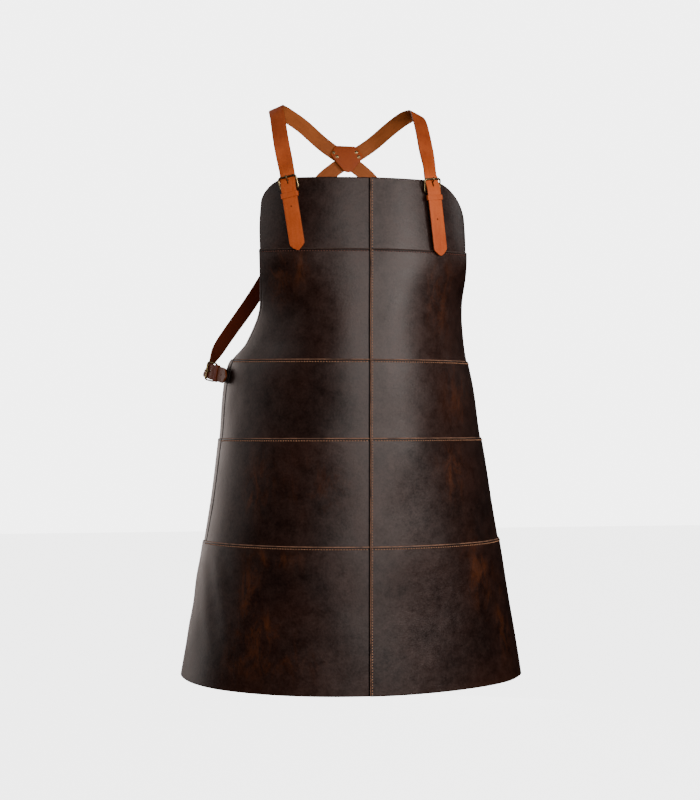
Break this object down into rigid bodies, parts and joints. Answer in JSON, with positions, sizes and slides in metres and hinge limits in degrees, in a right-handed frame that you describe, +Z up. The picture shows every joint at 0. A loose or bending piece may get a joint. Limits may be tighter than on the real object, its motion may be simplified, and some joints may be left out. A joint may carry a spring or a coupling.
{
  "type": "leather apron",
  "caption": "Long bib apron of lapped leather panels with crossed back straps, brass buckles at the bib and sides and a riveted patch where the straps cross.",
  "frame": {"origin": "midway between the two shoulder straps, at the underside of the straps where they rest on the shoulders", "axes": "+Z up, the front of the apron faces -Y, +X to the right as seen from the front"},
  "size_m": [0.5645, 0.3309, 0.9534],
  "materials": {
    "panel_leather": "waxed dark brown leather, semi matt",
    "strap_leather": "smooth tan leather",
    "brass": "antique brass",
    "thread": "waxed orange tan sewing thread"
  },
  "bodies": {
    "root": {"bib_left": "panel_leather", "bib_right": "panel_leather", "chest_left": "panel_leather", "chest_right": "panel_leather", "waist_left": "panel_leather", "waist_right": "panel_leather", "hip_left": "panel_leather", "hip_right": "panel_leather", "skirt_left": "panel_leather", "skirt_right": "panel_leather", "strap_a": "strap_leather", "strap_b": "strap_leather", "front_left_buckle": "brass", "front_left_prong": "brass", "front_left_tab": "panel_leather", "front_left_keeper": "strap_leather", "front_left_rivet": "brass", "front_right_buckle": "brass", "front_right_prong": "brass", "front_right_tab": "panel_leather", "front_right_keeper": "strap_leather", "front_right_rivet": "brass", "side_left_buckle": "brass", "side_left_prong": "brass", "side_left_tab": "panel_leather", "side_left_keeper": "strap_leather", "side_left_rivet": "brass", "side_right_buckle": "brass", "side_right_prong": "brass", "side_right_tab": "panel_leather", "side_right_keeper": "strap_leather", "side_right_rivet": "brass", "cross_patch": "strap_leather", "cross_rivet_1": "brass", "cross_rivet_2": "brass", "cross_rivet_3": "brass", "cross_rivet_4": "brass"}
  },
  "joints": []
}
